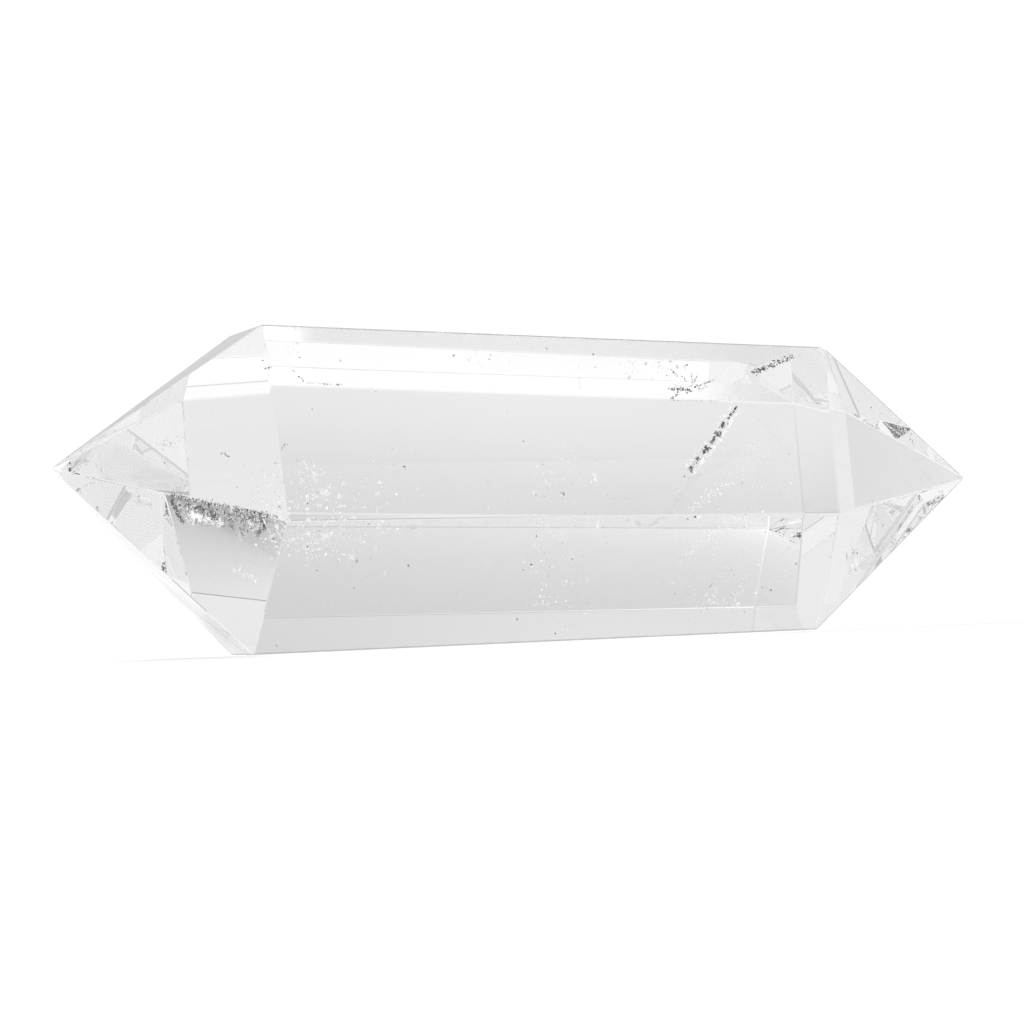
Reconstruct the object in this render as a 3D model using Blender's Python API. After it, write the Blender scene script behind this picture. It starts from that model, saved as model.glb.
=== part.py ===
"""Double terminated quartz: one clear crystal with a cut and polished point at each end.

Metres, +Z up. The crystal lies on its bottom flat, with +X along it, from the blunter, taller
end to the slimmer one, and -Y towards the side that is seen first. The origin is the middle of
the underside of its bounding box.

The shape is made as a stone cutter makes it. A rough block is ground flat by flat: first the
long flats of the prism, then the six facets of each point. Last, every edge is worn a little.
"""

import math

import bmesh
import bpy
from mathutils import Matrix, Vector, geometry

MM = 0.001
NAME = "quartz_crystal"

# Rough block, a little larger than the crystal on every side
BLOCK = Vector((90.0, 40.0, 40.0)) * MM

# The long flats of the prism, seen from the near point. Each has its turn round the long axis
# (0 faces the front, 90 the top, 180 the back, -90 the table), its distance from that axis at
# the crystal's waist in mm, and its taper in degrees. A positive taper leans the flat inwards
# towards the far point.
FLATS = {
    "upper_front": (25.8, 11.91, 2.6),
    "lower_front": (-34.9, 13.03, 1.6),
    "resting": (-90.0, 12.01, 0.0),
    "heel": (-148.1, 9.19, 0.55),
    "lower_back": (-156.5, 9.00, 0.92),
    "upper_back": (145.7, 12.92, 3.29),
    "top": (87.2, 13.15, 2.74),
}

# The long edges, each where two flats meet, and how far along the crystal its two shoulder
# corners lie from the waist, in mm: first at the near point, then at the far point
EDGES = {
    ("top", "upper_front"): (-23.80, 24.68),
    ("upper_front", "lower_front"): (-24.14, 22.32),
    ("lower_front", "resting"): (-25.72, 22.71),
    ("resting", "heel"): (-24.89, 24.02),
    ("heel", "lower_back"): (-23.24, 24.07),
    ("lower_back", "upper_back"): (-22.84, 25.52),
    ("upper_back", "top"): (-23.19, 24.49),
}

# The two tips, off the long axis as on any hand-cut point, in mm
NEAR_TIP = Vector((-39.77, -0.58, 3.41)) * MM
FAR_TIP = Vector((40.23, -0.07, 0.63)) * MM

# The end facets. Each continues one long flat and runs up to the tip from the two edges of
# that flat. The heel is too narrow to have a facet of its own.
END_FACETS = {
    "upper_front": (("top", "upper_front"), ("upper_front", "lower_front")),
    "lower_front": (("upper_front", "lower_front"), ("lower_front", "resting")),
    "resting": (("lower_front", "resting"), ("resting", "heel")),
    "lower_back": (("heel", "lower_back"), ("lower_back", "upper_back")),
    "upper_back": (("lower_back", "upper_back"), ("upper_back", "top")),
    "top": (("upper_back", "top"), ("top", "upper_front")),
}

# Shoulder corners that are ground off to a small flat: the edge, the end (0 near, 1 far) and
# the depth that is lost
BLUNTED_CORNERS = (
    (("upper_front", "lower_front"), 0, 0.10 * MM),
    (("top", "upper_front"), 1, 0.16 * MM),
)

# Worn band along every edge, in metres from the sharp edge, and its steps
EDGE_WEAR = 0.09 * MM
WEAR_STEPS = 2

# Two corners closer than this are one corner
SAME_POINT = 0.001 * MM

# Clear, nearly colourless quartz
CRYSTAL_COLOUR = (0.93, 0.94, 0.94, 1.0)
CRYSTAL_ROUGHNESS = 0.02
CRYSTAL_IOR = 1.544


def flat_plane(name):
    """A point on a long flat, and the flat's outward direction."""
    turn, distance, taper = FLATS[name]
    angle = math.radians(turn)
    outward = Vector((math.tan(math.radians(taper)), -math.cos(angle), math.sin(angle)))
    on_flat = outward * (distance * MM / outward.length_squared)
    return on_flat, outward.normalized()


def shoulder_corner(edge, end):
    """The corner where a long edge stops and the point begins."""
    first, second = (flat_plane(name) for name in edge)
    on_edge, along = geometry.intersect_plane_plane(*first, *second)
    across = Vector((EDGES[edge][end] * MM, 0.0, 0.0))
    return geometry.intersect_line_plane(on_edge, on_edge + along, across, Vector((1.0, 0.0, 0.0)))


def end_facet_plane(name, end):
    """A point on an end facet, and the facet's outward direction."""
    tip = (NEAR_TIP, FAR_TIP)[end]
    first, second = (shoulder_corner(edge, end) for edge in END_FACETS[name])
    outward = (first - tip).cross(second - tip).normalized()
    if outward.dot(tip) < 0.0:
        outward.negate()
    return tip, outward


def corner_flat_plane(edge, end, depth):
    """A small flat across a corner, square to the middle of the facets that meet there."""
    planes = [flat_plane(name) for name in edge]
    planes += [end_facet_plane(name, end) for name in edge]
    outward = sum((normal for _, normal in planes), Vector()).normalized()
    return shoulder_corner(edge, end) - outward * depth, outward


def grind(block, plane):
    """Take away all that stands proud of a plane, and close the block with a new face."""
    on_plane, outward = plane
    bmesh.ops.bisect_plane(
        block,
        geom=block.verts[:] + block.edges[:] + block.faces[:],
        dist=SAME_POINT,
        plane_co=on_plane,
        plane_no=outward,
        clear_outer=True,
    )
    rim = [edge for edge in block.edges if edge.is_boundary]
    if rim:
        bmesh.ops.holes_fill(block, edges=rim, sides=0)


def cut_crystal():
    """The whole crystal as a closed mesh, standing with its base middle at the origin."""
    block = bmesh.new()
    bmesh.ops.create_cube(block, size=1.0)
    bmesh.ops.scale(block, vec=BLOCK, verts=block.verts[:])

    for name in FLATS:
        grind(block, flat_plane(name))
    for end in (0, 1):
        for name in END_FACETS:
            grind(block, end_facet_plane(name, end))
    for edge, end, depth in BLUNTED_CORNERS:
        grind(block, corner_flat_plane(edge, end, depth))

    bmesh.ops.bevel(
        block,
        geom=block.edges[:],
        offset=EDGE_WEAR,
        segments=WEAR_STEPS,
        profile=0.5,
        affect="EDGES",
        clamp_overlap=True,
        material=-1,
    )
    bmesh.ops.remove_doubles(block, verts=block.verts[:], dist=SAME_POINT)
    bmesh.ops.triangulate(block, faces=block.faces[:])
    bmesh.ops.recalc_face_normals(block, faces=block.faces[:])

    low = Vector([min(vert.co[axis] for vert in block.verts) for axis in range(3)])
    high = Vector([max(vert.co[axis] for vert in block.verts) for axis in range(3)])
    middle = (low + high) / 2.0
    base_middle = Vector((middle.x, middle.y, low.z))
    bmesh.ops.transform(block, matrix=Matrix.Translation(-base_middle), verts=block.verts[:])
    return block


def crystal_material():
    """Polished clear quartz."""
    material = bpy.data.materials.new("clear_quartz")
    material.use_nodes = True
    shader = material.node_tree.nodes["Principled BSDF"]
    shader.inputs["Base Color"].default_value = CRYSTAL_COLOUR
    shader.inputs["Roughness"].default_value = CRYSTAL_ROUGHNESS
    shader.inputs["Metallic"].default_value = 0.0
    shader.inputs["IOR"].default_value = CRYSTAL_IOR
    shader.inputs["Transmission Weight"].default_value = 1.0
    return material


def main():
    for left_over in list(bpy.data.objects):
        bpy.data.objects.remove(left_over)
    parts = bpy.data.collections.new("double_terminated_quartz")
    bpy.context.scene.collection.children.link(parts)

    block = cut_crystal()
    mesh = bpy.data.meshes.new(NAME)
    block.to_mesh(mesh)
    block.free()
    mesh.materials.append(crystal_material())
    crystal = bpy.data.objects.new(NAME, mesh)
    parts.objects.link(crystal)


main()
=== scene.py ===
# %% [markdown]
# # A double terminated quartz point
#
# The object is one clear crystal, cut and polished into a six-sided bar with a point at each
# end. It lies on one of its long flats. This lesson dresses the solid model of that crystal:
# it gives it a polished, see-through finish, the flaws that live inside real quartz, a pale
# table, soft studio light and a camera.
#
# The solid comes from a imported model, the frame. All new pieces share its axes: metres, +X
# along the crystal, +Z up, and -Y towards the camera.

# %% Load the frame
import math
import random

import bmesh
import bpy
from mathutils import Euler, Matrix, Quaternion, Vector


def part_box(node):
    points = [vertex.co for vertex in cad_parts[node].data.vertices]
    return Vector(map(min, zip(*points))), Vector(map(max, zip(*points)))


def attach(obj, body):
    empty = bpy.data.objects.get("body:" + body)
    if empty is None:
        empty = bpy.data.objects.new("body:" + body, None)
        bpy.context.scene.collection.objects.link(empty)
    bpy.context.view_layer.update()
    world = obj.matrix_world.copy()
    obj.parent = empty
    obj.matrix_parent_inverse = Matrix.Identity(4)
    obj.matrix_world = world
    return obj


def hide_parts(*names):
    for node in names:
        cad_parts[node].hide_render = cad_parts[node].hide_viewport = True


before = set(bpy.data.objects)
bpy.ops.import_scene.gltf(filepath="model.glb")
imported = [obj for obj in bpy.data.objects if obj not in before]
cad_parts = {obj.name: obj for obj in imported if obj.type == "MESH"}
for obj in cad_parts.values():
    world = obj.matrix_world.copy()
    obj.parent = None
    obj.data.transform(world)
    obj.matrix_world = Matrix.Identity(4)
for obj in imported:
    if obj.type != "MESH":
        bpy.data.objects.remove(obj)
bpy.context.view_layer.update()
MM = 0.001

# %% [markdown]
# ## The crystal's body
#
# On the real stone every flat is ground on a wheel and the edges stay crisp, with a worn band
# about a tenth of a millimetre wide. The solid already has these facets, so the piece starts
# as a copy of it. The solid arrives as loose triangles. Merging its doubles and dissolving the
# flat seams turns them back into whole facets, which is how one would like to edit them.

# %% Copy the solid and make whole facets of it
SAME_POINT = 0.001 * MM
FLAT_ANGLE = math.radians(0.05)
CRYSTAL_NODE = "quartz_crystal"


def make_object(name, shape):
    """Turn a bmesh into an object at the origin, and free the bmesh."""
    mesh = bpy.data.meshes.new(name)
    shape.to_mesh(mesh)
    shape.free()
    made = bpy.data.objects.new(name, mesh)
    bpy.context.scene.collection.objects.link(made)
    return made


def new_piece(name, shape, material):
    """A visible piece that rides on the crystal's body."""
    piece = make_object(name, shape)
    piece.data.materials.append(material)
    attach(piece, "root")
    print(name, "has", len(piece.data.polygons), "faces")
    return piece


body = bmesh.new()
body.from_mesh(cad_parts[CRYSTAL_NODE].data)
bmesh.ops.remove_doubles(body, verts=body.verts[:], dist=SAME_POINT)
bmesh.ops.dissolve_limit(
    body,
    angle_limit=FLAT_ANGLE,
    verts=body.verts[:],
    edges=body.edges[:],
    use_dissolve_boundaries=False,
)
print("whole facets:", len(body.faces))

# %% [markdown]
# ## Room inside the stone
#
# The flaws that are made below lie inside the crystal, and none may break through a polished
# facet. The crystal is convex, so a point is inside it when it lies behind the plane of every
# facet. The facets and the longest worn bands are kept as planes, each by its middle and its
# way out, and each flaw asks them before it is made. A ragged flake can stand out past its
# radius, so it keeps a little more room than that.

# %% The facets as planes
FLAKE_REACH = 1.75
SMALLEST_FACET = 2.0 * MM * MM

facets = [
    (face.calc_center_median(), face.normal.copy())
    for face in body.faces
    if face.calc_area() > SMALLEST_FACET
]


def is_inside(point, radius):
    """True where a flake of this radius, however ragged, stays behind every facet."""
    room = radius * FLAKE_REACH
    return all((point - centre).dot(outward) < -room for centre, outward in facets)


print("facets kept as planes:", len(facets))

# %% [markdown]
# ## Small helpers for node trees
#
# The finishes below are worked out by nodes. A few steps come back again and again: a new
# material with its Principled shader, one Math node, a soft step between two values, and noise
# on Object coordinates, which stays with the stone. Each gets a short function, so that a finish
# reads like a formula.

# %% Small helpers for node trees
WHITE = (1.0, 1.0, 1.0, 1.0)
BLACK = (0.0, 0.0, 0.0, 1.0)


def grey(level):
    """An even grey as a colour."""
    return (level, level, level, 1.0)


def new_finish(name):
    """A new material, its node tree and its Principled shader."""
    material = bpy.data.materials.new(name)
    material.use_nodes = True
    tree = material.node_tree
    return material, tree, tree.nodes["Principled BSDF"]


def object_point(tree):
    """The place that is shaded, in the piece's own metres."""
    return tree.nodes.new("ShaderNodeTexCoord").outputs["Object"]


def noise_on(tree, point, scale):
    """Smooth noise round a half, with this many bumps to the metre."""
    noise = tree.nodes.new("ShaderNodeTexNoise")
    noise.inputs["Scale"].default_value = scale
    tree.links.new(point, noise.inputs["Vector"])
    return noise.outputs["Fac"]


def fade(tree, value, start, end):
    """A soft step from 0 to 1 as a value goes from start to end."""
    step = tree.nodes.new("ShaderNodeMapRange")
    step.interpolation_type = "SMOOTHSTEP"
    step.inputs["From Min"].default_value = start
    step.inputs["From Max"].default_value = end
    tree.links.new(value, step.inputs["Value"])
    return step.outputs["Result"]


def calculate(tree, operation, *values):
    """One Math node; a value is a number or another node's output."""
    node = tree.nodes.new("ShaderNodeMath")
    node.operation = operation
    for socket, value in zip(node.inputs, values):
        if isinstance(value, float):
            socket.default_value = value
        else:
            tree.links.new(value, socket)
    return node.outputs["Value"]


print("node helpers are ready")

# %% [markdown]
# ## Which edges are worn and shaded
#
# The outer edges of the stone, those that meet a table or a hand first, have lost their polish
# and are frosted. Along them the stone is also painted darker, as painted shade, so that they
# look like thin grey lines. The edges that run along the front are still bright. The outer edges
# are those between a facet that looks to the front and one that doesn't. One could mark edges by
# hand in the editor. Here the facets are paired, and a pair counts when some edge of the solid
# lies on both planes.

# %% Which edges are worn and shaded
FRONT = Vector((-0.30, -0.95, 0.0))
FRONT_SHARE = 0.05
NEAR_EDGE = 0.15 * MM
SHORTEST_EDGE = 2.0 * MM


def is_on(point, facet):
    """True where a point lies on a facet's plane, give or take the worn band."""
    centre, outward = facet
    return abs((point - centre).dot(outward)) < NEAR_EDGE


def share_an_edge(first, second):
    """True where the corners that lie on both planes are an edge's length apart."""
    corners = [vert.co for vert in body.verts if is_on(vert.co, first) and is_on(vert.co, second)]
    return any((corner - corners[0]).length > SHORTEST_EDGE for corner in corners)


front_facets = [facet for facet in facets if facet[1].dot(FRONT) > FRONT_SHARE]
other_facets = [facet for facet in facets if facet[1].dot(FRONT) <= FRONT_SHARE]
worn_and_shaded_edges = [
    (front, other)
    for front in front_facets
    for other in other_facets
    if share_an_edge(front, other)
]
print("front facets:", len(front_facets), "worn edges:", len(worn_and_shaded_edges))

# %% [markdown]
# ## Clear quartz
#
# Quartz bends light with an index of 1.544, and it is polished to a mirror. A Principled
# shader with full transmission does that. The stone takes a little light away: some at each
# surface, through the base colour, and some along the way, through a thin absorption.
#
# The worn edges are part of the same finish. A point is close to an edge when its distances to
# the two facets of that edge add up to little. Noise makes the line ragged, and where it lies the
# stone is frosted by wear and painted darker, as painted shade.

# %% The quartz finish
QUARTZ_IOR = 1.544
ABSORPTION_PER_METRE = 0.2
POLISHED_TINT = 0.87
# The darker tint along the outer edges is painted shade.
EDGE_SHADE_TINT = 0.42
WORN_ROUGHNESS = 0.35
WEAR_AND_SHADE_WIDTH = 0.14 * MM
WEAR_AND_SHADE_NOISE_SCALE = 700.0
WEAR_AND_SHADE_NOISE_REACH = 0.10 * MM
FAR_FROM_EDGES = 1.0


def plane_distance(tree, point, facet):
    """How far the shaded place is from a facet's plane."""
    centre, outward = facet
    along = tree.nodes.new("ShaderNodeVectorMath")
    along.operation = "DOT_PRODUCT"
    along.inputs[1].default_value = outward
    tree.links.new(point, along.inputs[0])
    beyond = calculate(tree, "SUBTRACT", along.outputs["Value"], centre.dot(outward))
    return calculate(tree, "ABSOLUTE", beyond)


def edge_wear_and_shade(tree):
    """1 on a worn edge that is painted with shade and 0 away from it, with a ragged border."""
    point = object_point(tree)
    nearest = FAR_FROM_EDGES
    for first, second in worn_and_shaded_edges:
        to_first = plane_distance(tree, point, first)
        to_second = plane_distance(tree, point, second)
        nearest = calculate(tree, "MINIMUM", calculate(tree, "ADD", to_first, to_second), nearest)
    noise = noise_on(tree, point, WEAR_AND_SHADE_NOISE_SCALE)
    ragged = calculate(tree, "MULTIPLY_ADD", noise, WEAR_AND_SHADE_NOISE_REACH, nearest)
    return fade(tree, ragged, WEAR_AND_SHADE_WIDTH + WEAR_AND_SHADE_NOISE_REACH / 2.0, WEAR_AND_SHADE_WIDTH)


def quartz_finish():
    """Clear polished quartz that is frosted along its worn edges and painted darker there as shade.
    """
    material, tree, shader = new_finish("clear_quartz_polished")
    shader.inputs["IOR"].default_value = QUARTZ_IOR
    shader.inputs["Transmission Weight"].default_value = 1.0
    wear_and_shade = edge_wear_and_shade(tree)
    # Along the outer edges the tint is painted darker as shade; the roughness there is wear.
    tint = calculate(tree, "MULTIPLY_ADD", wear_and_shade, EDGE_SHADE_TINT - POLISHED_TINT, POLISHED_TINT)
    roughness = calculate(tree, "MULTIPLY", wear_and_shade, WORN_ROUGHNESS)
    tree.links.new(tint, shader.inputs["Base Color"])
    tree.links.new(roughness, shader.inputs["Roughness"])
    depth = tree.nodes.new("ShaderNodeVolumeAbsorption")
    depth.inputs["Color"].default_value = BLACK
    depth.inputs["Density"].default_value = ABSORPTION_PER_METRE
    tree.links.new(depth.outputs["Volume"], tree.nodes["Material Output"].inputs["Volume"])
    return material


crystal = new_piece("crystal", body, quartz_finish())
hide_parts(CRYSTAL_NODE)

# %% [markdown]
# ## Chips
#
# A hand-cut point gets knocked about. Its long edges have lost a few shell-shaped chips, a
# corner of the base is nibbled, and one end facet has a long shallow scar. One could sculpt
# them, but a shell-shaped chip has a clean, round hollow, so each is a ball taken out of the
# stone, stretched along the edge, and flattened for the scar. One Boolean takes them all at
# once. Its result is kept as the mesh, so that no cutter stays behind.

# %% Chips
CHIP_DETAIL = 3
FRONT_TOP = (0.0, -0.45, 0.90)
BACK_TOP = (0.0, 0.40, 0.92)
FRONT_EDGE = (0.0, -1.0, -0.08)
FRONT_BASE = (0.0, -0.60, -0.80)
ALONG_STONE = (1.0, 0.0, 0.0)
CHIPS = (
    # middle, way along it, way out of the stone, half sizes along, across and into the stone in mm
    ((-9.30, -6.20, 25.52), ALONG_STONE, FRONT_TOP, (0.62, 0.50, 0.46)),
    ((-8.55, -6.15, 25.44), ALONG_STONE, FRONT_TOP, (0.30, 0.34, 0.34)),
    ((-3.70, -6.04, 25.24), ALONG_STONE, FRONT_TOP, (0.44, 0.40, 0.40)),
    ((-14.20, -6.32, 25.66), ALONG_STONE, FRONT_TOP, (0.26, 0.28, 0.28)),
    ((2.10, -5.90, 25.00), ALONG_STONE, FRONT_TOP, (0.24, 0.26, 0.26)),
    ((9.70, -5.68, 24.62), ALONG_STONE, FRONT_TOP, (0.42, 0.34, 0.34)),
    ((16.20, -5.50, 24.34), ALONG_STONE, FRONT_TOP, (0.24, 0.26, 0.26)),
    ((-8.20, 8.06, 26.14), ALONG_STONE, BACK_TOP, (0.56, 0.44, 0.44)),
    ((4.60, 7.56, 25.54), ALONG_STONE, BACK_TOP, (0.30, 0.34, 0.34)),
    ((-17.20, -14.08, 9.98), ALONG_STONE, FRONT_EDGE, (0.22, 0.26, 0.26)),
    ((12.90, -12.74, 9.56), ALONG_STONE, FRONT_EDGE, (0.26, 0.28, 0.28)),
    ((21.90, -5.70, -0.10), ALONG_STONE, FRONT_BASE, (0.42, 0.40, 0.36)),
    ((20.90, -5.76, -0.10), ALONG_STONE, FRONT_BASE, (0.26, 0.30, 0.30)),
    ((25.55, -6.88, 5.70), (3.9, 5.7, -3.5), (0.58, -0.68, -0.45), (2.20, 0.80, 0.42)),
)


def chip_cutters():
    """All chips as stretched balls in one bmesh."""
    cutters = bmesh.new()
    for middle, along, outward, half_sizes in CHIPS:
        out = Vector(outward).normalized()
        across = out.cross(Vector(along)).normalized()
        turn = Matrix((across.cross(out), across, out)).transposed().to_4x4()
        size = Matrix.Diagonal((*half_sizes, 1.0))
        place = Matrix.Scale(MM, 4) @ Matrix.Translation(Vector(middle)) @ turn @ size
        bmesh.ops.create_icosphere(cutters, subdivisions=CHIP_DETAIL, radius=1.0, matrix=place)
    return cutters


def take_chips(piece):
    """Cut the chips out of a piece and keep the result as its mesh."""
    cutter = make_object("chip_cutters", chip_cutters())
    cut = piece.modifiers.new("chips", "BOOLEAN")
    cut.operation = "DIFFERENCE"
    cut.solver = "EXACT"
    cut.object = cutter
    bpy.context.view_layer.update()
    cut_piece = piece.evaluated_get(bpy.context.evaluated_depsgraph_get())
    chipped = bpy.data.meshes.new_from_object(cut_piece)
    piece.modifiers.clear()
    piece.data = chipped
    bpy.data.objects.remove(cutter)
    print("chips taken:", len(CHIPS), "faces now:", len(chipped.polygons))


take_chips(crystal)

# %% [markdown]
# ## Finishes of the flaws
#
# A flaw in clear quartz is mostly a thin gap of air or liquid. It acts as a tiny mirror, so it
# flashes white where it faces a lamp and turns dark where it faces none. Two finishes cover
# that: a silvery one, a metal mirror, and a dark one, which is painted shade for the gaps that
# throw the light away from the eye. A third, milky one is for the fine white specks that scatter
# the light; they also glow a little, which is painted light. Noise keeps each of them uneven.
# Last come wisps, wider scraps of a veil that cover the view in patches and are clear between
# them. The white ones scatter the light and also glow a little, painted light. The dark ones are
# painted shade.

# %% Finishes of the flaws
FLAW_NOISE_SCALE = 2600.0
FLAW_TONE_STEPS = (0.35, 0.65)
WISP_NOISE_SCALE = 1500.0
WISP_PATCHES = (0.46, 0.62)
DULL = 0.6


def flaw_finish(name, tones, roughness, metallic, glow):
    """A finish whose tone wanders between two greys over a fraction of a millimetre."""
    material, tree, shader = new_finish(name)
    shader.inputs["Metallic"].default_value = metallic
    shader.inputs["Roughness"].default_value = roughness
    shader.inputs["Emission Color"].default_value = WHITE
    shader.inputs["Emission Strength"].default_value = glow
    ramp = tree.nodes.new("ShaderNodeValToRGB")
    for stop, position, tone in zip(ramp.color_ramp.elements, FLAW_TONE_STEPS, tones):
        stop.position = position
        stop.color = grey(tone)
    tree.links.new(noise_on(tree, object_point(tree), FLAW_NOISE_SCALE), ramp.inputs["Fac"])
    tree.links.new(ramp.outputs["Color"], shader.inputs["Base Color"])
    return material


def wisp_finish(name, tone, cover, glow):
    """Patches of one grey with clear gaps between them."""
    material, tree, shader = new_finish(name)
    shader.inputs["Base Color"].default_value = grey(tone)
    shader.inputs["Roughness"].default_value = DULL
    shader.inputs["Emission Color"].default_value = WHITE
    shader.inputs["Emission Strength"].default_value = glow
    noise = noise_on(tree, object_point(tree), WISP_NOISE_SCALE)
    patches = fade(tree, noise, *WISP_PATCHES)
    tree.links.new(calculate(tree, "MULTIPLY", patches, cover), shader.inputs["Alpha"])
    return material


silvery = flaw_finish("silvery_gap", tones=(0.80, 0.98), roughness=0.12, metallic=1.0, glow=0.0)
# The dark gap finish is painted shade: grey where a gap only looks dark.
shadowed = flaw_finish("shadowed_gap", tones=(0.07, 0.48), roughness=0.35, metallic=0.6, glow=0.0)
# The milky finishes glow a little: painted light.
milky = flaw_finish("milky_speck", tones=(0.80, 0.97), roughness=DULL, metallic=0.0, glow=0.45)
wispy = wisp_finish("milky_wisp", tone=0.95, cover=0.36, glow=0.35)
# Dark wisps of painted shade.
shade_wisp_finish = wisp_finish("painted_shade_wisp", tone=0.10, cover=0.19, glow=0.0)
print("flaw finishes:", [finish.name for finish in (silvery, shadowed, milky, wispy, shade_wisp_finish)])

# %% [markdown]
# ## One flake
#
# Seen close up, a fleck is a scrap of a healed crack: thin, many-sided and never round. A flat
# sheet would do from one side, but not as a solid that others can use. A cone with five sides
# and two caps gives such a scrap as a closed solid of seven faces, few enough to be repeated
# thousands of times. It is squashed, turned any way, and each of its corners is pushed aside.
# All chance comes from one seeded generator, so that each run gives the same stone.

# %% One flake
FLAKE_SIDES = 5
FLAKE_THINNESS = 0.22
FLAKE_TAPER = 0.7
FLAKE_JITTER = 0.28
FLAKE_NARROWING = (0.45, 1.0)
SEED = 7
chance = random.Random(SEED)


def random_turn():
    """A turn to any side."""
    turns = [chance.uniform(-math.pi, math.pi) for _ in range(3)]
    return Euler(turns).to_matrix().to_4x4()


def random_shift(spread):
    """A bell-curve shift with its own spread along each axis."""
    return Vector([chance.gauss(0.0, 1.0) * reach for reach in spread])


def add_flake(shape, centre, radius):
    """Add one closed, ragged scrap to a bmesh, if it lies inside the stone. Returns how many."""
    stretch = chance.uniform(*FLAKE_NARROWING)
    turn = random_turn()
    if not is_inside(centre, radius):
        return 0
    place = Matrix.Translation(centre) @ turn @ Matrix.Diagonal((1.0, stretch, 1.0, 1.0))
    made = bmesh.ops.create_cone(
        shape,
        cap_ends=True,
        segments=FLAKE_SIDES,
        radius1=radius,
        radius2=radius * FLAKE_TAPER,
        depth=radius * FLAKE_THINNESS,
        matrix=place,
    )
    for vert in made["verts"]:
        push = random_shift((1.0, 1.0, 1.0))
        vert.co += turn.to_3x3() @ Vector((push.x, push.y, 0.0)) * (radius * FLAKE_JITTER)
    return 1


print("a flake has", FLAKE_SIDES + 2, "faces")

# %% [markdown]
# ## Clouds of flakes
#
# The flaws gather in clouds: a veil of white specks behind the near shoulder, others in the
# middle and towards the far end, small dark patches of painted shade in the near point, and so
# on. One volume with a cloudy density would be soft but not grainy, and it has no mesh, so a
# cloud is made of flakes. Each has its middle, how far it spreads along the three axes, how many
# flakes it has and how large they are. A bell curve makes it dense in the middle and thin at its
# rim, and small flakes are more common than large ones.

# %% Clouds of flakes
# middle and spread in mm, number of flakes, smallest and largest radius in mm
VEILS = (
    ((-20.4, -5.0, 10.8), (1.8, 1.4, 1.2), 30, (0.06, 0.30)),
    ((-17.0, -4.6, 11.8), (2.6, 1.6, 1.5), 24, (0.05, 0.26)),
    ((-21.6, -3.6, 13.2), (1.0, 1.0, 0.8), 10, (0.06, 0.30)),
    ((-0.4, -2.7, 7.6), (1.5, 1.4, 1.8), 20, (0.05, 0.26)),
    ((0.8, -2.4, 12.6), (1.5, 1.2, 1.1), 16, (0.05, 0.26)),
    ((14.4, -1.8, 5.2), (1.9, 1.4, 1.2), 24, (0.06, 0.30)),
    ((12.6, -3.0, 9.0), (1.5, 1.2, 1.1), 12, (0.05, 0.24)),
    ((10.9, -5.0, 22.2), (1.9, 0.4, 0.6), 20, (0.05, 0.20)),
    ((17.5, -1.4, 12.8), (1.7, 1.2, 1.9), 14, (0.04, 0.20)),
)
WISPS = (
    ((-20.4, -5.0, 10.8), (1.6, 1.2, 1.1), 34, (0.20, 0.60)),
    ((-17.6, -4.6, 12.0), (2.8, 1.4, 1.4), 22, (0.15, 0.45)),
    ((-21.4, -3.8, 13.0), (1.0, 0.8, 0.7), 14, (0.20, 0.50)),
    ((-24.6, -6.0, 15.0), (0.5, 0.5, 0.4), 6, (0.15, 0.40)),
    ((-0.4, -2.7, 7.4), (1.5, 1.2, 1.8), 18, (0.15, 0.50)),
    ((0.8, -2.4, 12.6), (1.6, 1.0, 1.1), 16, (0.15, 0.45)),
    ((14.4, -1.8, 5.2), (1.9, 1.2, 1.2), 26, (0.15, 0.55)),
    ((12.8, -2.6, 8.6), (1.5, 1.0, 1.1), 12, (0.15, 0.45)),
    ((17.0, -1.2, 14.0), (1.6, 0.8, 1.6), 8, (0.20, 0.55)),
)
MILK = (
    ((-20.4, -5.2, 10.4), (1.9, 1.3, 1.1), 80, (0.03, 0.17)),
    ((-17.6, -4.8, 11.0), (2.8, 1.4, 1.4), 60, (0.03, 0.14)),
    ((-0.2, -2.2, 6.2), (2.0, 1.4, 1.8), 70, (0.03, 0.15)),
    ((14.6, -1.6, 4.8), (2.2, 1.4, 1.0), 90, (0.03, 0.17)),
    ((0.8, -2.4, 12.4), (2.0, 1.2, 1.4), 46, (0.03, 0.13)),
    ((18.2, -1.6, 11.6), (1.5, 1.2, 1.9), 60, (0.03, 0.12)),
    ((-29.9, -7.1, 11.1), (0.40, 0.24, 0.34), 120, (0.05, 0.14)),
    ((17.6, -1.4, 14.2), (1.7, 1.0, 2.1), 130, (0.02, 0.06)),
)
# Clouds of dark flakes: painted shade.
SHADOWS = (
    ((11.4, -5.9, 20.1), (0.65, 0.15, 0.22), 70, (0.03, 0.09)),
    ((-31.0, -3.0, 16.6), (0.55, 0.30, 0.22), 60, (0.02, 0.06)),
    ((-30.7, -6.0, 12.9), (0.45, 0.25, 0.16), 40, (0.02, 0.06)),
    ((-0.2, -2.4, 8.4), (2.6, 1.6, 3.0), 20, (0.03, 0.11)),
    ((14.0, -2.2, 6.4), (3.0, 1.6, 2.2), 18, (0.03, 0.10)),
    ((-20.4, -5.0, 11.0), (2.0, 1.4, 1.4), 8, (0.03, 0.10)),
)


def add_clouds(shape, clouds):
    """Add the flakes of some clouds, and return how many lie inside the stone."""
    made = 0
    for middle, spread, count, (smallest, largest) in clouds:
        for _ in range(count):
            aside = random_shift(spread)
            radius = smallest + (largest - smallest) * chance.random() ** 2
            made += add_flake(shape, (Vector(middle) + aside) * MM, radius * MM)
    return made


print("clouds:", len(VEILS + WISPS + MILK + SHADOWS))

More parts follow.
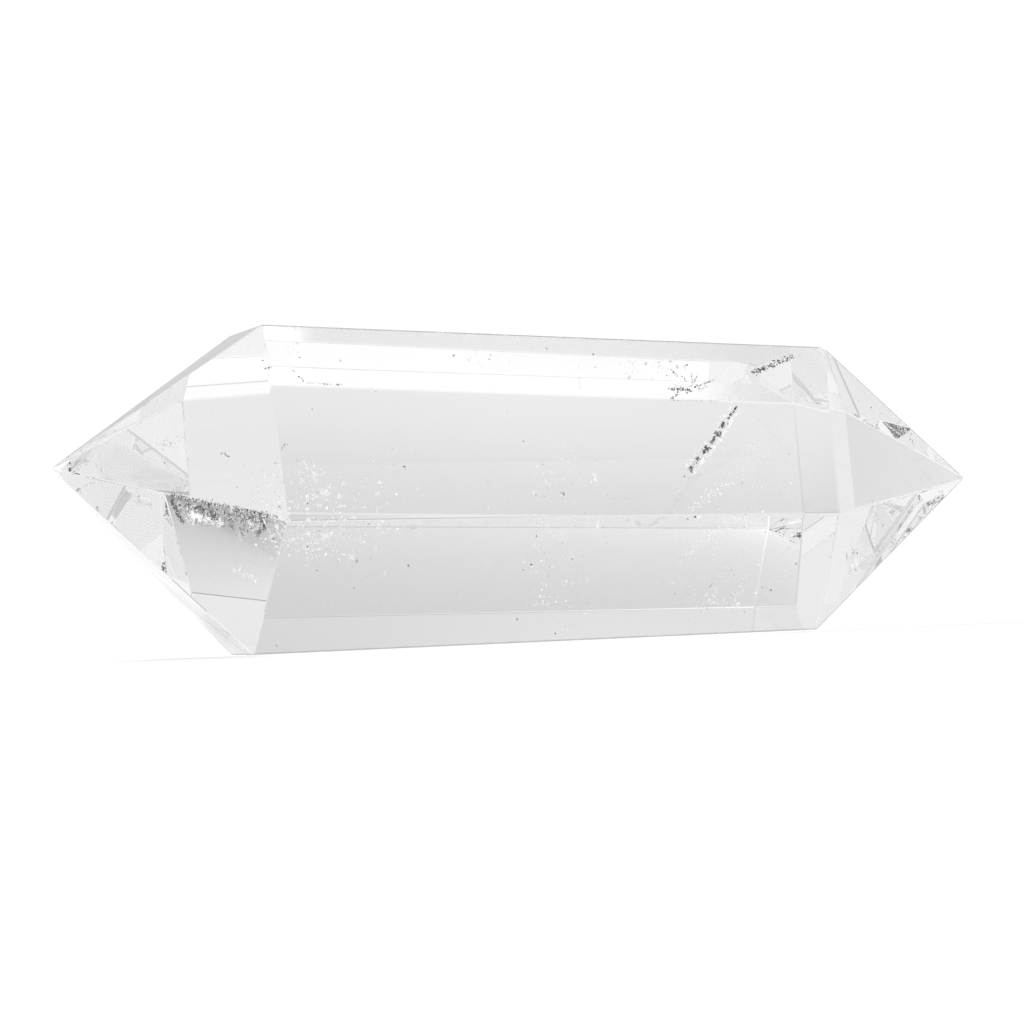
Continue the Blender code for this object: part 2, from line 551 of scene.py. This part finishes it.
# %% [markdown]
# ## Loose specks
#
# Between the clouds the stone has single specks everywhere, a few to the cubic centimetre. They
# are thrown into the crystal's box, and those that miss the stone are left out. That is simpler
# than to fill the stone's own shape evenly, and it looks the same.

# %% Loose specks
LOOSE_SILVERY = 130
LOOSE_SHADOWED = 46
LOOSE_RADIUS = (0.03, 0.11)


def add_loose(shape, count):
    """Add single flakes anywhere, and return how many lie inside the stone."""
    low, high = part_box(CRYSTAL_NODE)
    made = 0
    for _ in range(count):
        spot = Vector([chance.uniform(start, end) for start, end in zip(low, high)])
        made += add_flake(shape, spot, chance.uniform(*LOOSE_RADIUS) * MM)
    return made


print("loose specks thrown:", LOOSE_SILVERY + LOOSE_SHADOWED)

# %% [markdown]
# ## The steep crack, dash by dash
#
# Towards the far end one steep crack runs down from under the top to the middle of the stone,
# with a bend on its way. It is seen almost along its plane, as a broken black line. A single
# sheet would be too whole, so the crack is made of dashes. One could write down both ends of
# every dash, but they all lie on two straight stretches, so each dash is given by the shares of
# its stretch where it starts and ends. The last one lies a little past the foot.

# %% The steep crack, dash by dash
CRACK_TOP = (16.9, -0.7, 17.6)
CRACK_BEND = (14.3, -0.5, 14.3)
CRACK_FOOT = (11.3, -3.3, 12.1)
PLACE_DIGITS = 2
DASHES = (
    # stretch, its shares, how far the flakes stray in mm, number, smallest and largest radius in mm
    (CRACK_TOP, CRACK_BEND, (0.00, 0.36), 0.04, 26, (0.06, 0.14)),
    (CRACK_TOP, CRACK_BEND, (0.48, 0.62), 0.09, 20, (0.08, 0.20)),
    (CRACK_TOP, CRACK_BEND, (0.72, 0.84), 0.10, 18, (0.08, 0.17)),
    (CRACK_TOP, CRACK_BEND, (0.92, 1.00), 0.06, 12, (0.08, 0.20)),
    (CRACK_BEND, CRACK_FOOT, (0.16, 0.40), 0.11, 24, (0.07, 0.20)),
    (CRACK_BEND, CRACK_FOOT, (0.54, 0.70), 0.06, 15, (0.07, 0.16)),
    (CRACK_BEND, CRACK_FOOT, (0.82, 1.00), 0.08, 16, (0.06, 0.17)),
    (CRACK_BEND, CRACK_FOOT, (1.14, 1.22), 0.06, 3, (0.05, 0.12)),
)


def part_way(start, end, share):
    """The place at a share of the way, to a hundredth of a millimetre."""
    return tuple(round(value, PLACE_DIGITS) for value in Vector(start).lerp(Vector(end), share))


def dash_row(start, end, shares, stray, count, radii):
    """The row of flakes that one dash stands for."""
    first, last = [part_way(start, end, share) for share in shares]
    return first, last, stray, count, radii


print("dashes:", len(DASHES))

# %% [markdown]
# ## Rows of flakes along a crack
#
# Each dash is a row of dark flakes, painted shade, and milky flakes close beside the crack are its
# white rims. The same kind of row gives the other drawn flaws: the short dark bar under the top,
# the dark patch in the near lower facet, which is a painted dark reflection, with its white cloud
# and its dark wisps of painted shade, and the brushwork of fine cracks in the bright band.

# %% Rows of flakes along a crack
# The core rows are dark flakes, painted shade; the rims are milky specks.
# from, to, how far the flakes stray, all in mm; number; smallest and largest radius in mm
STEEP_CRACK = tuple(dash_row(*dash) for dash in DASHES)
CRACK_CORE = STEEP_CRACK + (
    # the short bar under the top
    ((17.6, -5.4, 21.3), (21.7, -4.5, 22.7), 0.12, 150, (0.04, 0.13)),
    # the dark patch in the near lower facet, a painted dark reflection
    ((-31.8, -6.7, 12.65), (-25.0, -13.1, 10.45), 0.07, 360, (0.03, 0.08)),
    ((-31.5, -6.6, 12.1), (-25.4, -12.4, 10.2), 0.18, 150, (0.04, 0.12)),
    ((-31.3, -6.4, 11.6), (-25.6, -12.0, 9.8), 0.26, 110, (0.04, 0.11)),
    ((-31.7, -6.6, 12.4), (-30.8, -6.4, 10.6), 0.10, 110, (0.04, 0.12)),
    ((-25.9, -12.1, 10.5), (-25.6, -11.9, 9.7), 0.10, 60, (0.04, 0.12)),
    # strokes in the bright band
    ((10.4, -5.3, 21.7), (10.8, -5.5, 21.1), 0.04, 22, (0.03, 0.07)),
    ((11.2, -5.5, 21.1), (11.5, -5.7, 20.7), 0.04, 14, (0.03, 0.07)),
    ((12.1, -5.3, 21.4), (12.0, -5.8, 20.5), 0.04, 24, (0.03, 0.06)),
    ((12.8, -5.3, 21.3), (12.1, -5.8, 20.5), 0.04, 26, (0.03, 0.06)),
    ((9.7, -6.1, 20.0), (11.7, -6.1, 19.9), 0.06, 80, (0.03, 0.09)),
    ((12.1, -5.9, 20.1), (14.0, -5.6, 20.7), 0.04, 50, (0.03, 0.07)),
    ((12.4, -6.1, 19.8), (13.4, -5.8, 20.3), 0.03, 26, (0.02, 0.05)),
    ((9.8, -6.5, 19.1), (10.4, -6.3, 19.5), 0.05, 30, (0.03, 0.07)),
    ((9.8, -6.6, 19.0), (13.8, -6.4, 18.9), 0.03, 60, (0.02, 0.05)),
    ((-21.6, -4.3, 21.7), (-20.7, -4.8, 20.6), 0.04, 24, (0.03, 0.08)),
    ((-20.7, -4.8, 20.6), (-17.7, -4.7, 20.4), 0.05, 44, (0.03, 0.07)),
    ((2.8, -3.7, 22.6), (2.4, -4.1, 19.7), 0.06, 22, (0.02, 0.06)),
    # single dark flecks
    ((-24.1, -7.0, 22.3), (-23.5, -6.9, 22.1), 0.05, 14, (0.03, 0.07)),
    ((-26.6, -5.0, 15.4), (-26.1, -5.0, 15.0), 0.08, 12, (0.04, 0.10)),
    ((-23.9, -10.5, 15.6), (-23.4, -10.2, 16.0), 0.07, 12, (0.04, 0.10)),
    ((-13.5, -5.8, 13.4), (-13.3, -5.8, 13.2), 0.05, 4, (0.06, 0.12)),
    ((-13.6, -6.5, 7.8), (-13.4, -6.5, 7.6), 0.05, 4, (0.06, 0.12)),
    ((-2.9, -5.0, 7.7), (-2.7, -5.0, 7.5), 0.05, 4, (0.06, 0.12)),
)
CRACK_RIMS = (
    ((17.2, -0.7, 17.4), (14.6, -0.5, 14.1), 0.10, 60, (0.05, 0.17)),
    ((16.6, -0.7, 17.9), (14.0, -0.5, 14.6), 0.10, 40, (0.04, 0.14)),
    ((14.6, -0.5, 14.1), (11.6, -3.3, 11.9), 0.10, 60, (0.05, 0.17)),
    ((14.0, -0.5, 14.6), (11.0, -3.3, 12.4), 0.10, 40, (0.04, 0.14)),
    ((14.6, -5.0, 11.4), (10.5, -2.7, 8.1), 0.20, 60, (0.04, 0.16)),
    ((17.6, -5.4, 21.1), (21.7, -4.5, 22.5), 0.14, 36, (0.04, 0.12)),
    ((-26.2, -6.1, 7.1), (-24.6, -7.2, 6.3), 0.16, 30, (0.04, 0.14)),
    ((-25.7, -12.0, 10.7), (-25.4, -12.0, 9.8), 0.04, 34, (0.03, 0.09)),
    ((-31.5, -6.5, 12.0), (-25.4, -12.3, 10.0), 0.22, 220, (0.03, 0.10)),
    ((-30.2, -6.9, 11.2), (-28.1, -8.8, 10.4), 0.20, 170, (0.05, 0.13)),
)
# Dark wisps: painted shade over the dark patch and along the steep crack.
CRACK_SHADE_WISPS = (
    ((-31.2, -5.9, 12.4), (-25.2, -11.8, 10.3), 0.12, 80, (0.16, 0.36)),
    ((-30.8, -6.2, 12.0), (-25.2, -11.4, 10.0), 0.16, 80, (0.18, 0.40)),
    ((-30.3, -6.3, 11.2), (-25.4, -10.9, 9.4), 0.20, 50, (0.18, 0.40)),
    dash_row(CRACK_TOP, CRACK_BEND, (0.00, 0.36), 0.04, 10, (0.12, 0.22)),
    ((15.6, -0.6, 16.0), CRACK_FOOT, 0.10, 14, (0.12, 0.24)),
)


def add_rows(shape, rows):
    """Add the flakes of some rows, and return how many lie inside the stone."""
    made = 0
    for start, end, stray, count, (smallest, largest) in rows:
        for _ in range(count):
            spot = Vector(start).lerp(Vector(end), chance.random())
            spot += random_shift((stray, stray, stray))
            made += add_flake(shape, spot * MM, chance.uniform(smallest, largest) * MM)
    return made


print("rows:", len(CRACK_CORE + CRACK_RIMS + CRACK_SHADE_WISPS))

# %% [markdown]
# ## The flaws as pieces
#
# Thousands of objects would be slow and hard to keep, so all flakes of one finish go into one
# mesh. That makes five pieces: silvery, milky and shadowed flakes, milky wisps, and dark wisps of
# painted shade.

# %% Make the flaws
def flaw_piece(name, clouds, rows, loose, material):
    """One piece of all flakes that share a finish."""
    shape = bmesh.new()
    made = add_clouds(shape, clouds) + add_rows(shape, rows) + add_loose(shape, loose)
    print(name, "has", made, "flakes")
    new_piece(name, shape, material)


flaw_piece("silvery_flakes", VEILS, (), LOOSE_SILVERY, silvery)
flaw_piece("milky_specks", MILK, CRACK_RIMS, 0, milky)
flaw_piece("milky_wisps", WISPS, (), 0, wispy)
flaw_piece("shadowed_flakes", SHADOWS, CRACK_CORE, LOOSE_SHADOWED, shadowed)
flaw_piece("painted_shade_wisps", (), CRACK_SHADE_WISPS, 0, shade_wisp_finish)

# %% [markdown]
# ## The table
#
# A wide, pale sheet of paper on a light table. It is a hair's breadth below the crystal, so that
# two faces never share one place. It glows evenly, and light and shade are painted into that
# glow: a painted sheen that makes it brighter where it is seen at a low angle, a painted pool of
# light under the stone's body that shows at low angles, a small painted bright spot under the
# near half, and painted shade past the points of the stone, which stand clear of the table. Lamps
# of their own would give the same look with more noise, because their light would reach the
# camera through many facets.

# %% The table
TABLE_GAP = 0.2 * MM
TABLE_HALF_WIDTH = 1.5
PAPER_ALBEDO = 0.4
PAPER_GLOW = 0.63
# Painted sheen: the paper glows more where it is seen at a low angle.
LOW_ANGLE_GLOW = 0.08
PAPER_ROUGHNESS = 0.9
# A painted pool of light under the stone's body.
LIGHT_POOL_GLOW = 0.30
LIGHT_POOL_MIDDLE = (0.0, 3.0, 0.0)
ANY_HEIGHT = 1000.0
LIGHT_POOL_HALF_SIZE = (26.0, 9.0, ANY_HEIGHT)
LIGHT_POOL_FADE = (1.0, 0.7)
# The painted pool of light shows mostly where the paper is seen at a low angle.
POOL_LOW_ANGLE_FADE = (-0.10, 0.45)
SHADE_AND_LIGHT_SPOTS = (
    # middle and half sizes in mm, and what the spot adds to the glow: painted light above 0,
    # painted shade below
    ((-20.0, 4.0, 0.0), (4.2, 2.8, ANY_HEIGHT), 0.45),
    ((-27.0, 15.0, 0.0), (9.0, 17.0, ANY_HEIGHT), -0.20),
    ((54.0, 3.0, 0.0), (32.0, 14.0, ANY_HEIGHT), -0.15),
)
SPOT_FADE = (1.0, 0.10)


def ellipse_share(tree, middle, half_sizes, borders):
    """1 inside an ellipse on the table and 0 outside it, with a soft border."""
    aside = tree.nodes.new("ShaderNodeVectorMath")
    aside.operation = "SUBTRACT"
    aside.inputs[1].default_value = Vector(middle) * MM
    share = tree.nodes.new("ShaderNodeVectorMath")
    share.operation = "DIVIDE"
    share.inputs[1].default_value = Vector(half_sizes) * MM
    distance = tree.nodes.new("ShaderNodeVectorMath")
    distance.operation = "LENGTH"
    tree.links.new(object_point(tree), aside.inputs[0])
    tree.links.new(aside.outputs["Vector"], share.inputs[0])
    tree.links.new(share.outputs["Vector"], distance.inputs[0])
    return fade(tree, distance.outputs["Value"], *borders)


def table_finish():
    """Pale paper that glows evenly, with a painted sheen, a painted pool of light and painted
    spots.
    """
    material, tree, shader = new_finish("paper_with_painted_light")
    shader.inputs["Base Color"].default_value = grey(PAPER_ALBEDO)
    shader.inputs["Roughness"].default_value = PAPER_ROUGHNESS
    shader.inputs["Specular IOR Level"].default_value = 0.0
    shader.inputs["Emission Color"].default_value = WHITE
    # A painted pool of light under the stone's body, shown at low angles.
    light_pool = ellipse_share(tree, LIGHT_POOL_MIDDLE, LIGHT_POOL_HALF_SIZE, LIGHT_POOL_FADE)
    facing = tree.nodes.new("ShaderNodeLayerWeight").outputs["Facing"]
    pool_at_low_angle = fade(tree, facing, *POOL_LOW_ANGLE_FADE)
    pool_share = calculate(tree, "MULTIPLY", light_pool, pool_at_low_angle)
    pool_light = calculate(tree, "MULTIPLY", pool_share, LIGHT_POOL_GLOW)
    # An even glow, plus painted sheen at low angles.
    low_light = calculate(tree, "MULTIPLY_ADD", facing, LOW_ANGLE_GLOW, PAPER_GLOW)
    glow = calculate(tree, "ADD", low_light, pool_light)
    # Spots of painted light and painted shade on the paper.
    for middle, half_sizes, strength in SHADE_AND_LIGHT_SPOTS:
        spot = ellipse_share(tree, middle, half_sizes, SPOT_FADE)
        glow = calculate(tree, "MULTIPLY_ADD", spot, strength, glow)
    tree.links.new(glow, shader.inputs["Emission Strength"])
    return material


sheet = bmesh.new()
bmesh.ops.create_grid(sheet, x_segments=1, y_segments=1, size=TABLE_HALF_WIDTH)
bmesh.ops.translate(sheet, vec=(0.0, 0.0, -TABLE_GAP), verts=sheet.verts[:])
table = make_object("table", sheet)
table.data.materials.append(table_finish())
print("table width in m:", round(table.dimensions.x, 2))

# %% [markdown]
# ## The light tent
#
# Clear stones are photographed inside a white tent. What shows in them is the tent itself,
# bent by the facets, so the light is modelled as a dome of soft patches: each has a direction,
# an inner angle in degrees where it is full and an outer angle where it has faded out. Area
# lamps would show hard borders in every facet. The camera itself sees an even ground, a little
# above white. Light may turn many times between the facets before it leaves the stone, so the
# path has room for that.

# %% The light tent
TENT_LEVEL = 0.94
BACKGROUND_LEVEL = 1.03
LIGHT_BOUNCES = 32
TENT_PATCHES = (
    # name, direction, inner angle, outer angle, brightness
    ("high_back", (0.22, 0.57, 0.79), 6.0, 18.0, 0.65),
    ("low_back", (0.15, 0.85, -0.50), 30.0, 33.5, 0.72),
    ("front_softbox", (0.06, -0.67, 0.74), 13.0, 27.0, 1.06),
    ("front_softbox_top", (0.19, -0.52, 0.84), 9.0, 15.5, 1.85),
    ("front_softbox_low", (0.05, -0.96, 0.28), 4.0, 17.0, 1.62),
    ("front_shade", (0.60, -0.67, 0.44), 1.0, 11.0, 0.32),
    ("front_overhead", (0.14, -0.47, 0.87), 1.5, 17.0, 0.60),
    ("left_back", (-0.48, 0.87, 0.10), 1.0, 8.0, 0.75),
    ("left_card", (-0.90, -0.10, 0.30), 8.0, 18.0, 1.08),
    ("left_front_card", (-0.45, -0.78, 0.42), 10.0, 22.0, 0.45),
    ("back_left_card", (-0.49, 0.59, 0.64), 8.0, 19.0, 0.45),
    ("back_card", (0.14, 0.96, 0.22), 5.0, 9.0, 0.60),
    ("right_side", (0.84, -0.21, 0.50), 5.0, 21.0, 1.10),
)


def light_tent():
    """The world as a dome of soft patches, each laid over those before it."""
    world = bpy.data.worlds.new("light_tent")
    bpy.context.scene.world = world
    world.use_nodes = True
    tree = world.node_tree
    tree.nodes.clear()
    coordinates = tree.nodes.new("ShaderNodeTexCoord")
    level = tree.nodes.new("ShaderNodeValue")
    level.outputs[0].default_value = TENT_LEVEL
    below = level.outputs[0]
    for name, towards, inner, outer, brightness in TENT_PATCHES:
        aim = tree.nodes.new("ShaderNodeVectorMath")
        aim.operation = "DOT_PRODUCT"
        aim.label = name
        aim.inputs[1].default_value = Vector(towards).normalized()
        tree.links.new(coordinates.outputs["Generated"], aim.inputs[0])
        rim = math.cos(math.radians(outer))
        middle = math.cos(math.radians(inner))
        share = fade(tree, aim.outputs["Value"], rim, middle)
        mix = tree.nodes.new("ShaderNodeMix")
        mix.data_type = "FLOAT"
        tree.links.new(share, mix.inputs["Factor"])
        tree.links.new(below, mix.inputs["A"])
        mix.inputs["B"].default_value = brightness
        below = mix.outputs["Result"]
    path = tree.nodes.new("ShaderNodeLightPath")
    seen = tree.nodes.new("ShaderNodeMix")
    seen.data_type = "FLOAT"
    tree.links.new(path.outputs["Is Camera Ray"], seen.inputs["Factor"])
    tree.links.new(below, seen.inputs["A"])
    seen.inputs["B"].default_value = BACKGROUND_LEVEL
    glow = tree.nodes.new("ShaderNodeBackground")
    glow.inputs["Color"].default_value = WHITE
    tree.links.new(seen.outputs["Result"], glow.inputs["Strength"])
    output = tree.nodes.new("ShaderNodeOutputWorld")
    tree.links.new(glow.outputs["Background"], output.inputs["Surface"])


light_tent()
scene = bpy.context.scene
scene.view_settings.view_transform = "Standard"
scene.cycles.max_bounces = LIGHT_BOUNCES
scene.cycles.transmission_bounces = LIGHT_BOUNCES
scene.cycles.glossy_bounces = LIGHT_BOUNCES
scene.cycles.transparent_max_bounces = LIGHT_BOUNCES
print("tent patches:", len(TENT_PATCHES))

# %% [markdown]
# ## The camera
#
# The crystal was seen from a little to its left and almost from the height of the table, so
# the bottom flat shows edge on. A long lens keeps the near point from growing. The camera's
# place, aim, roll and lens were found by matching the corners of the solid to the picture.

# %% The camera
CAMERA_AT = Vector((-75.06, -231.35, 1.45)) * MM
CAMERA_AIM = Vector((-1.49, 1.67, 10.89)) * MM
CAMERA_ROLL = math.radians(-2.465)
CAMERA_SENSOR = 36.0
CAMERA_LENS = 102.92

camera_data = bpy.data.cameras.new("camera")
camera_data.sensor_width = CAMERA_SENSOR
camera_data.lens = CAMERA_LENS
camera_data.clip_start = MM
camera = bpy.data.objects.new("camera", camera_data)
scene.collection.objects.link(camera)
look = (CAMERA_AIM - CAMERA_AT).to_track_quat("-Z", "Y")
camera.rotation_mode = "QUATERNION"
camera.rotation_quaternion = look @ Quaternion((0.0, 0.0, 1.0), CAMERA_ROLL)
camera.location = CAMERA_AT
scene.camera = camera
print("camera distance in mm:", round((CAMERA_AIM - CAMERA_AT).length / MM))
